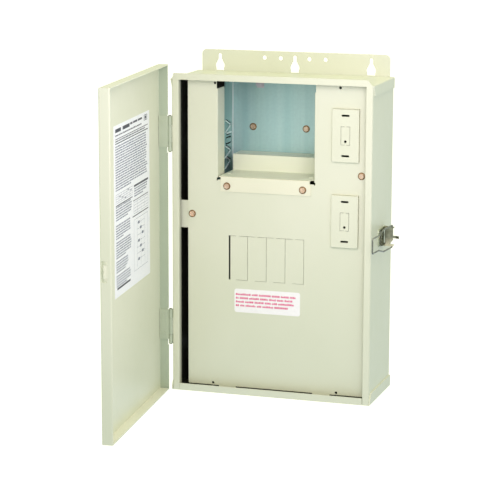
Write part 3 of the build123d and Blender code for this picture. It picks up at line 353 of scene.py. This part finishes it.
# the enclosure's coat, with painted shade on its walls behind the dead front
shell_coat_painted_shade = powder_coat("shell_coat_painted_shade", *CREAM, painted_light_zone=interior_shade_zone())
for name in ("enclosure_wrap", "top_cap", "bottom_cap"):
    dress(nodes[name], shell_coat_painted_shade)
# the barrier bracket takes a lighter coat and a paler shelf, both painted light
dress(nodes["barrier_bracket"], powder_coat("bracket_coat_painted_light", *BRACKET_LIT_CREAM, painted_light_zone=shelf_light_zone()))
# the door's coat, with painted shade on the inner face of its hinge flange
dress(nodes["door_pan"], powder_coat("door_coat_painted_shade", *CREAM, painted_light_zone=fold_shade_zone()))
# the hinge leaves and rivets take a greyer coat as painted shade
hinge_shade_coat = powder_coat("fold_coat_painted_shade", *HINGE_SHADE_CREAM)
for name in ("hinge_door_leaf_lower", "hinge_door_leaf_upper", "hinge_door_rivets",
             "hinge_wall_leaf_lower", "hinge_wall_leaf_upper"):
    dress(nodes[name], hinge_shade_coat)
lever_low, lever_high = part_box("latch_lever")
dress(nodes["latch_lever"], latch_lever_plate(lever_low.z, (lever_low.z + lever_high.z) / 2))
wall_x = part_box("enclosure_wrap")[1].x
dress(nodes["latch_base"], latch_base_plate(wall_x + 1.25 * MM))


# ---------------------------------------------------------------- screws
WASHER_RADIUS = 4.8 * MM
HEAD_HEIGHT = 2.4 * MM
HEX_RADIUS = 3.7 * MM
SHANK_RADIUS = 2.0 * MM
SLOT_WIDTH = 1.15 * MM
SLOT_DEPTH = 1.1 * MM
SCREW_SIDES = 48


def solids(node, reach):
    """The boxes around a node's separate solids, which stand further apart than reach."""
    boxes = []
    for vertex in node.data.vertices:
        at = vertex.co
        for low, high in boxes:
            if all(low[i] - reach < at[i] < high[i] + reach for i in range(3)):
                low[:] = [min(pair) for pair in zip(low, at)]
                high[:] = [max(pair) for pair in zip(high, at)]
                break
        else:
            boxes.append((at.copy(), at.copy()))
    return boxes


def hexagon(angle):
    """The radius of a unit hexagon with slightly rounded corners at an angle."""
    turn = angle % (math.pi / 3) - math.pi / 6
    return min(math.cos(math.pi / 6) / math.cos(turn), 0.985)


def lathe(mesh, rings):
    """Skins (radius, height, roundness) rings about +Z into a closed solid; roundness 0 is a hexagon."""
    loops = []
    for radius, height, roundness in rings:
        loop = []
        for step in range(SCREW_SIDES):
            angle = 2 * math.pi * step / SCREW_SIDES
            reach = radius * (roundness + (1 - roundness) * hexagon(angle))
            loop.append(mesh.verts.new((reach * math.cos(angle), reach * math.sin(angle), height)))
        loops.append(loop)
    for lower, upper in zip(loops, loops[1:]):
        for i in range(SCREW_SIDES):
            j = (i + 1) % SCREW_SIDES
            mesh.faces.new((lower[i], lower[j], upper[j], upper[i]))
    mesh.faces.new(loops[0][::-1])
    mesh.faces.new(loops[-1])


def screw_mesh(length):
    """A slotted hexagon washer-head screw: its seat at the origin, its head along +Z."""
    mesh = bmesh.new()
    thread = []
    turns = round(length / (1.1 * MM))
    for turn in range(turns):
        low = -length + turn * length / turns
        thread += [(SHANK_RADIUS - 0.25 * MM, low, 1), (SHANK_RADIUS, low + 0.45 * length / turns, 1)]
    washer = [(WASHER_RADIUS - 0.25 * MM, 0.0, 1), (WASHER_RADIUS, 0.2 * MM, 1), (WASHER_RADIUS, 0.5 * MM, 1),
              (WASHER_RADIUS - 0.3 * MM, 0.75 * MM, 1), (HEX_RADIUS + 0.25 * MM, 0.85 * MM, 1)]
    head = [(HEX_RADIUS, 0.95 * MM, 0), (HEX_RADIUS, HEAD_HEIGHT - 0.35 * MM, 0),
            (HEX_RADIUS - 0.5 * MM, HEAD_HEIGHT, 0.6), (HEX_RADIUS - 1.2 * MM, HEAD_HEIGHT, 1),
            (HEX_RADIUS - 1.5 * MM, HEAD_HEIGHT - 0.25 * MM, 1), (0.3 * MM, HEAD_HEIGHT - 0.3 * MM, 1)]
    lathe(mesh, thread + [(SHANK_RADIUS, 0.0, 1)] + washer + head)
    data = bpy.data.meshes.new("screw_blank")
    mesh.to_mesh(data)
    mesh.free()
    return slotted(data)


def slotted(data):
    """The same screw with a driver slot cut across its head."""
    cutter_mesh = bmesh.new()
    bmesh.ops.create_cube(cutter_mesh, size=1.0)
    size = Matrix.Diagonal((3 * WASHER_RADIUS, SLOT_WIDTH, 2 * SLOT_DEPTH, 1.0))
    cutter_mesh.transform(Matrix.Translation((0, 0, HEAD_HEIGHT)) @ size)
    cutter_data = bpy.data.meshes.new("cutter")
    cutter_mesh.to_mesh(cutter_data)
    cutter_mesh.free()
    blank = bpy.data.objects.new("screw_blank", data)
    cutter = bpy.data.objects.new("cutter", cutter_data)
    for piece in (blank, cutter):
        bpy.context.scene.collection.objects.link(piece)
    cut = blank.modifiers.new("slot", "BOOLEAN")
    cut.object = cutter
    cut.solver = "EXACT"
    result = bpy.data.meshes.new_from_object(blank.evaluated_get(bpy.context.evaluated_depsgraph_get()))
    for piece in (blank, cutter):
        bpy.data.objects.remove(piece)
    return result


def detailed_screws(node, rng):
    """Stands a slotted hexagon screw in the place of each plain one of a CAD node."""
    mesh = bmesh.new()
    for low, high in solids(nodes[node], 12 * MM):
        seat = Vector(((low.x + high.x) / 2, low.y + HEAD_HEIGHT, (low.z + high.z) / 2))
        screw = screw_mesh(high.y - seat.y)
        outwards = Matrix.Rotation(math.radians(90), 4, "X")
        turned = Matrix.Rotation(rng.uniform(0, math.pi), 4, "Z")
        screw.transform(Matrix.Translation(seat) @ outwards @ turned)
        mesh.from_mesh(screw)
        bpy.data.meshes.remove(screw)
    data = bpy.data.meshes.new(node + "_detailed")
    mesh.to_mesh(data)
    mesh.free()
    data.materials.append(SLOTS["screw"])
    data.materials.append(WASHER_SHADE_ZINC)
    front = min(vertex.co.y for vertex in data.vertices)
    # faces behind the head's top take the darker washer zinc, painted shade under the head
    for face in data.polygons:
        face.material_index = int(face.center.y > front + HEAD_HEIGHT - 1.0 * MM)
    piece = bpy.data.objects.new(node + "_detailed", data)
    bpy.context.scene.collection.objects.link(piece)
    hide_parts(node)
    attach(piece, "enclosure")


turns = random.Random(SEED + 2)
for name in ("dead_front_screws", "barrier_screws", "liner_screws"):
    detailed_screws(name, turns)


# ---------------------------------------------------------------- printed labels
INK = 0.02 * MM          # thickness of the print


class Sheet:
    """A printed sheet: places ink bars by distance across and down from its top left corner."""

    def __init__(self, corner, across, down, out, width, height):
        self.corner, self.across, self.down, self.out = corner, across, down, out
        self.width, self.height = width, height
        self.mesh = bmesh.new()

    def bar(self, left, top, width, height):
        """One closed, very thin block of ink, with its size in metres on the sheet."""
        low = self.corner + self.across * left + self.down * top
        side, drop, rise = self.across * width, self.down * height, self.out * INK
        corners = [low, low + side, low + side + drop, low + drop]
        lower = [self.mesh.verts.new(c) for c in corners]
        upper = [self.mesh.verts.new(c + rise) for c in corners]
        self.mesh.faces.new(upper)
        self.mesh.faces.new(lower[::-1])
        for i in range(4):
            j = (i + 1) % 4
            self.mesh.faces.new((lower[i], lower[j], upper[j], upper[i]))

    def line(self, left, top, width, height, rng, letter=0.9):
        """A line of generic word-like dashes: each is a run of letter-sized blocks."""
        at = left
        while at < left + width - 2 * height:
            for _ in range(rng.randint(2, 9)):
                block = height * letter * rng.uniform(0.55, 1.0)
                if at + block > left + width:
                    break
                drop = height * rng.choice((0.0, 0.0, 0.18))
                self.bar(at, top + drop, block, height - drop)
                at += block + height * 0.16
            at += height * 0.5

    def paragraph(self, left, top, width, count, pitch, height, rng):
        """Lines of small print; the last one is shorter."""
        for row in range(count):
            reach = width * (rng.uniform(0.35, 0.8) if row == count - 1 else rng.uniform(0.93, 1.0))
            self.line(left, top + row * pitch, reach, height, rng)

    def outline(self, left, top, width, height, weight):
        """A ruled box."""
        self.bar(left, top, width, weight)
        self.bar(left, top + height - weight, width, weight)
        self.bar(left, top + weight, weight, height - 2 * weight)
        self.bar(left + width - weight, top + weight, weight, height - 2 * weight)

    def write(self, name, material, slot, body):
        """Turns the bars made so far into one piece that rides on a body."""
        bmesh.ops.recalc_face_normals(self.mesh, faces=self.mesh.faces)
        data = bpy.data.meshes.new(name)
        self.mesh.to_mesh(data)
        self.mesh.free()
        self.mesh = bmesh.new()
        data.materials.append(material)
        piece = bpy.data.objects.new(name, data)
        bpy.context.scene.collection.objects.link(piece)
        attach(piece, body)
        return piece


def sheet_on(node, out_hint):
    """The printed face of a thin upright label node, seen from its printed side."""
    data = nodes[node].data
    face = max((p for p in data.polygons if p.normal.dot(out_hint) > 0.9), key=lambda p: p.area)
    out = face.normal.copy()
    up = Vector((0, 0, 1))
    across = up.cross(out).normalized()
    points = [v.co for v in data.vertices]
    left, right = (f(p.dot(across) for p in points) for f in (min, max))
    bottom, top = (f(p.z for p in points) for f in (min, max))
    front = max(p.dot(out) for p in points)
    corner = across * left + up * top + out * front
    return Sheet(corner, across, -up, out, right - left, top - bottom)


def print_warning():
    """Four lines of generic dashes in red on the dead front's label."""
    rng = random.Random(SEED)
    label = sheet_on("warning_label", Vector((0, -1, 0)))
    margin = 0.022 * label.width
    reaches = (0.95, 0.95, 0.95, 0.82)
    for row, reach in enumerate(reaches):
        top = label.height * (0.19 + 0.158 * row)
        label.line(margin, top, label.width * reach - margin, 0.083 * label.height, rng)
    label.write("warning_print", RED_INK, "warning_print", "enclosure")


def print_wiring():
    """Generic small print, tables and a ladder-like diagram on the door's label."""
    rng = random.Random(SEED + 1)
    label = sheet_on("wiring_label", Vector((1, 0, 0)))
    w, h = label.width, label.height
    margin = 0.045 * w
    full = w - 2 * margin
    # Heading: bold blocks, then rules above the small print.
    for left, width in ((0.0, 0.17), (0.22, 0.21), (0.45, 0.07), (0.54, 0.13), (0.69, 0.13)):
        label.bar(margin + left * full, 0.022 * h, width * full, (0.021 if left < 0.4 else 0.012) * h)
    label.outline(margin + 0.88 * full, 0.016 * h, 0.1 * full, 0.034 * h, 0.9 * MM)
    label.bar(margin + 0.9 * full, 0.024 * h, 0.06 * full, 0.018 * h)
    label.line(margin, 0.056 * h, 0.8 * full, 0.0085 * h, rng)
    label.bar(margin, 0.079 * h, full, 0.0045 * h)
    label.line(margin, 0.089 * h, 0.94 * full, 0.008 * h, rng)
    label.bar(margin, 0.104 * h, full, 0.006 * h)
    label.bar(margin + 0.55 * full, 0.403 * h, 0.45 * full, 0.012 * h)
    label.bar(margin, 0.462 * h, 0.5 * full, 0.006 * h)
    label.bar(margin + 0.52 * full, 0.492 * h, 0.48 * full, 0.0045 * h)
    label.bar(margin + 0.5 * full, 0.585 * h, 0.5 * full, 0.006 * h)
    label.bar(margin + 0.02 * full, 0.945 * h, 0.4 * full, 0.012 * h)
    label.write("wiring_print_heading", DARK_INK, "label_paper", "door")
    # Small print in one wide block, then in a left column.
    pitch, size = 0.0148 * h, 0.0084 * h
    label.paragraph(margin, 0.120 * h, full, 18, pitch, size, rng)
    for top, count, width in ((0.470, 6, 0.48), (0.578, 6, 0.46), (0.676, 7, 0.46), (0.789, 5, 0.36),
                              (0.872, 5, 0.44)):
        label.paragraph(margin, top * h, width * full, count, pitch, size, rng)
    label.paragraph(margin + 0.56 * full, 0.421 * h, 0.42 * full, 4, pitch, size, rng)
    label.write("wiring_print_text", GREY_INK, "label_paper", "door")
    # A table in each column, and the ladder diagram in the right one.
    rule = 0.35 * MM
    column = margin + 0.54 * full
    label.outline(margin, 0.400 * h, 0.5 * full, 0.052 * h, rule)
    for row in range(1, 4):
        label.bar(margin, (0.400 + 0.013 * row) * h, 0.5 * full, rule)
    for step in range(1, 6):
        label.bar(margin + 0.083 * step * full, 0.400 * h, rule, 0.052 * h)
        entry = (0.403 + 0.013 * (step % 4)) * h
        label.bar(margin + (0.083 * step + 0.02) * full, entry, 0.04 * full, 0.006 * h)
    label.outline(column, 0.505 * h, 0.46 * full, 0.07 * h, rule)
    for row in range(1, 4):
        label.bar(column, (0.505 + 0.0175 * row) * h, 0.46 * full, rule)
    for step in range(1, 4):
        label.bar(column + 0.115 * step * full, 0.505 * h, rule, 0.07 * h)
    label.outline(column, 0.61 * h, 0.44 * full, 0.31 * h, rule)
    for rail in (0.10, 0.22, 0.34):
        label.bar(column + rail * full, 0.625 * h, rule, 0.28 * h)
    for rung in range(7):
        top = (0.64 + 0.037 * rung) * h
        label.bar(column + 0.10 * full, top, 0.24 * full, rule)
        label.bar(column + (0.13 + 0.06 * (rung % 3)) * full, top - 1.6 * MM, 0.05 * full, 3.4 * MM)
    label.write("wiring_print_diagram", GREY_INK, "label_paper", "door")


print_warning()
print_wiring()


# ---------------------------------------------------------------- floor, light and camera
FLOOR_DROP = 0.5         # the panel hangs on a wall, this far above the floor
LENS = 148.9
CAMERA_PLACE = Vector((0.767, -2.598, 0.487))
CAMERA_YAW = 17.685
CAMERA_PITCH = 11.107
CAMERA_ROLL = 0.17


def plain_floor():
    """A wide pale floor below the panel, which hangs on a wall and so doesn't touch it."""
    low, high = cad_box
    mesh = bmesh.new()
    bmesh.ops.create_grid(mesh, x_segments=2, y_segments=2, size=30.0)
    data = bpy.data.meshes.new("floor")
    mesh.to_mesh(data)
    mesh.free()
    floor = bpy.data.objects.new("floor", data)
    floor.location = (0, 0, low.z - FLOOR_DROP)
    bpy.context.scene.collection.objects.link(floor)
    floor.visible_diffuse = floor.visible_glossy = False
    s = Shader("floor_white", Roughness=0.9, Specular_IOR_Level=0.0, Emission_Strength=0.6)
    s.principled.inputs["Emission Color"].default_value = (1, 1, 1, 1)
    s.colour(s.mix(s.noise(3.0), (0.86, 0.86, 0.86, 1), (0.88, 0.88, 0.88, 1)))
    data.materials.append(s.material)


def soft_light(name, place, aim, size, power, tint):
    """A square softbox that looks at a point."""
    lamp = bpy.data.lights.new(name, "AREA")
    lamp.shape = "SQUARE"
    lamp.size = size
    lamp.energy = power
    lamp.color = tint
    holder = bpy.data.objects.new(name, lamp)
    bpy.context.scene.collection.objects.link(holder)
    holder.location = place
    holder.rotation_euler = (Vector(aim) - Vector(place)).to_track_quat("-Z", "Y").to_euler()


def dark_card(name, place, size):
    """A black card that only reflections show, as photographers use to give metal its contrast."""
    mesh = bmesh.new()
    bmesh.ops.create_grid(mesh, x_segments=2, y_segments=2, size=size / 2)
    data = bpy.data.meshes.new(name)
    mesh.to_mesh(data)
    mesh.free()
    card = bpy.data.objects.new(name, data)
    card.location = place
    card.rotation_euler = (-place).to_track_quat("Z", "Y").to_euler()
    bpy.context.scene.collection.objects.link(card)
    card.visible_camera = card.visible_diffuse = card.visible_shadow = False
    s = Shader(name, Roughness=0.9, Specular_IOR_Level=0.0)
    s.colour(s.mix(s.noise(3.0), (0.01, 0.01, 0.01, 1), (0.02, 0.02, 0.02, 1)))
    data.materials.append(s.material)


def surroundings(seen, below, above, strength):
    """Plain surroundings: one colour as seen, and as light a soft gradient from below to above."""
    world = bpy.data.worlds.new("studio")
    bpy.context.scene.world = world
    world.use_nodes = True
    tree = world.node_tree
    shine = tree.nodes["Background"]
    shine.inputs["Strength"].default_value = strength
    direction = tree.nodes.new("ShaderNodeTexCoord")
    height = tree.nodes.new("ShaderNodeSeparateXYZ")
    tree.links.new(direction.outputs["Generated"], height.inputs["Vector"])
    ramp = tree.nodes.new("ShaderNodeMapRange")
    ramp.inputs["From Min"].default_value = -1.0
    tree.links.new(height.outputs["Z"], ramp.inputs["Value"])
    blend = tree.nodes.new("ShaderNodeMix")
    blend.data_type = "RGBA"
    blend.inputs[6].default_value = (*below, 1)
    blend.inputs[7].default_value = (*above, 1)
    tree.links.new(ramp.outputs["Result"], blend.inputs["Factor"])
    tree.links.new(blend.outputs[2], shine.inputs["Color"])
    backdrop = tree.nodes.new("ShaderNodeBackground")
    backdrop.inputs["Color"].default_value = (*seen, 1)
    ray = tree.nodes.new("ShaderNodeLightPath")
    either = tree.nodes.new("ShaderNodeMixShader")
    tree.links.new(ray.outputs["Is Camera Ray"], either.inputs["Fac"])
    tree.links.new(shine.outputs["Background"], either.inputs[1])
    tree.links.new(backdrop.outputs["Background"], either.inputs[2])
    tree.links.new(either.outputs["Shader"], tree.nodes["World Output"].inputs["Surface"])


def camera():
    """The view: from the front right, a little above, through a long lens."""
    data = bpy.data.cameras.new("camera")
    data.sensor_width = 36.0
    data.lens = LENS
    data.clip_end = 100.0
    holder = bpy.data.objects.new("camera", data)
    bpy.context.scene.collection.objects.link(holder)
    look = (Matrix.Rotation(math.radians(CAMERA_YAW), 4, "Z")
            @ Matrix.Rotation(math.radians(90.0 - CAMERA_PITCH), 4, "X")
            @ Matrix.Rotation(math.radians(CAMERA_ROLL), 4, "Z"))
    holder.matrix_world = Matrix.Translation(CAMERA_PLACE) @ look
    bpy.context.scene.camera = holder


plain_floor()
surroundings((1.0, 1.0, 1.0), (0.77, 0.93, 1.12), (0.74, 0.72, 0.42), 1.0)
soft_light("key", (0.25, -0.6, 0.35), (0.08, -0.1, 0.08), 0.35, 2.25, (0.95, 0.84, 0.98))
soft_light("overhead", (0.25, 0.0, 1.3), (0.05, -0.05, 0.2), 0.7, 4.2, (1.0, 1.0, 0.96))
soft_light("warm", (0.12, -0.55, 0.12), (0.03, -0.1, 0.0), 0.3, 0.14, (1.0, 0.62, 0.55))
dark_card("card_right", Vector((1.5, -0.7, -0.1)), 1.6)
dark_card("card_low", Vector((0.2, -1.3, -1.5)), 1.4)
camera()
bpy.context.scene.view_settings.view_transform = "Standard"
